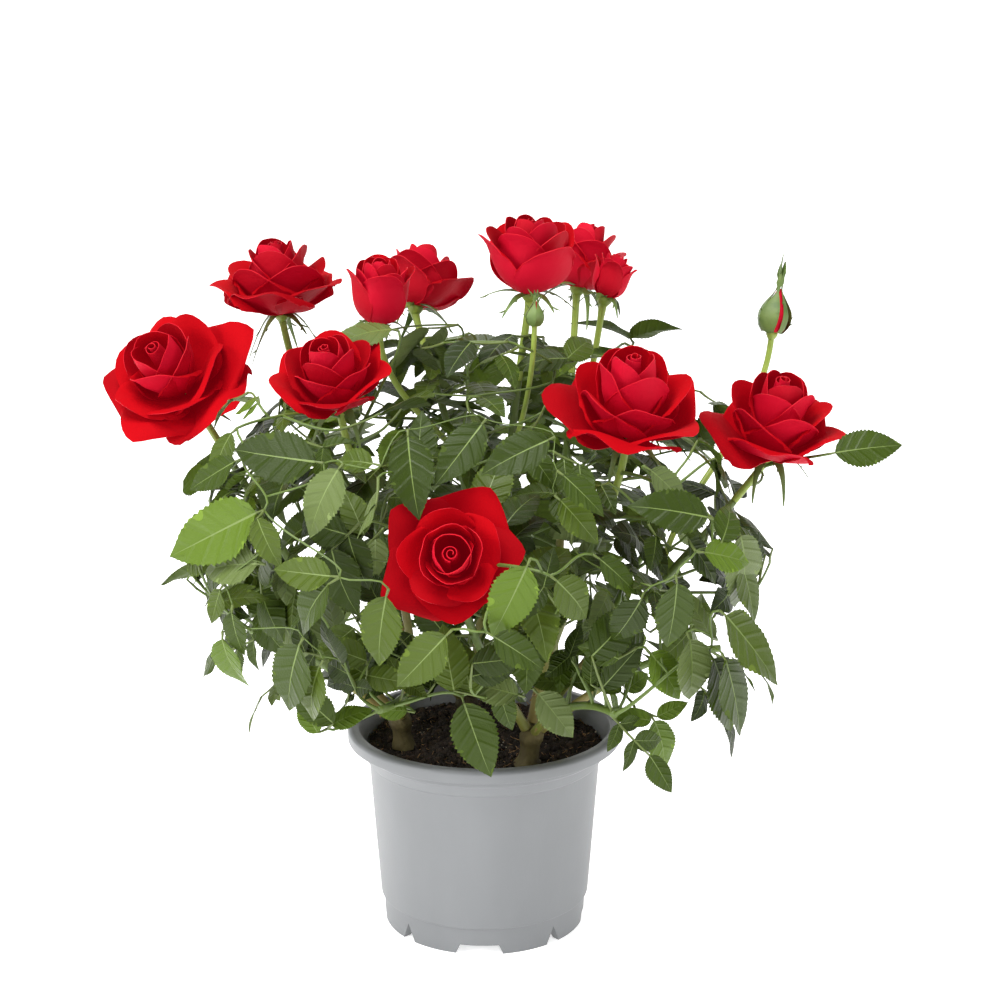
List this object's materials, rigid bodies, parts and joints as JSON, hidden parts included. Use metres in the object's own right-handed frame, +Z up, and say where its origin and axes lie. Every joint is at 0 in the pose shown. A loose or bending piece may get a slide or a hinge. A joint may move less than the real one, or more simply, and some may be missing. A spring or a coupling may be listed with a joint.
{
  "type": "potted rose bush",
  "caption": "Flowering miniature rose bush with red double blooms, serrated compound leaves and arching green canes, planted in a grey round plastic grower's pot.",
  "frame": {"origin": "middle of the pot's underside, at the level of the ground that its feet stand on", "axes": "+Z up; +X along the crown's wider spread, to the right seen from the front; -Y towards the front, where the lowest open bloom faces"},
  "size_m": [0.3683, 0.2845, 0.3371],
  "materials": {
    "pot_plastic": "satin",
    "soil": "matte",
    "woody_stem": "matte",
    "green_cane": "satin",
    "foliage": "satin",
    "petals": "matte",
    "bud_green": "satin"
  },
  "bodies": {
    "root": {"pot": "pot_plastic", "soil": "soil", "stem_front": "woody_stem", "stem_left": "woody_stem", "stem_middle": "woody_stem", "stem_right": "woody_stem", "cane_far_left": "green_cane", "cane_upper_left": "green_cane", "cane_left_centre": "green_cane", "cane_middle": "green_cane", "cane_top_centre": "green_cane", "cane_behind": "green_cane", "cane_right_centre": "green_cane", "cane_far_right": "green_cane", "cane_front": "green_cane", "cane_low_left": "green_cane", "cane_low_right": "green_cane", "cane_low_front_left": "green_cane", "cane_low_front_right": "green_cane", "cane_back_left": "green_cane", "cane_back_right": "green_cane", "cane_back": "green_cane", "leaves_far_left": "foliage", "leaves_upper_left": "foliage", "leaves_left_centre": "foliage", "leaves_middle": "foliage", "leaves_top_centre": "foliage", "leaves_behind": "foliage", "leaves_right_centre": "foliage", "leaves_far_right": "foliage", "leaves_front": "foliage", "leaves_low_left": "foliage", "leaves_low_right": "foliage", "leaves_low_front_left": "foliage", "leaves_low_front_right": "foliage", "leaves_back_left": "foliage", "leaves_back_right": "foliage", "leaves_back": "foliage", "bloom_far_left": "petals", "bloom_upper_left": "petals", "bloom_left_centre": "petals", "bloom_middle": "petals", "bloom_behind_left": "petals", "bloom_top": "petals", "bloom_behind": "petals", "bloom_small": "petals", "bloom_right_centre": "petals", "bloom_far_right": "petals", "bloom_front": "petals", "bud_right": "bud_green", "bud_centre": "bud_green"}
  },
  "joints": []
}
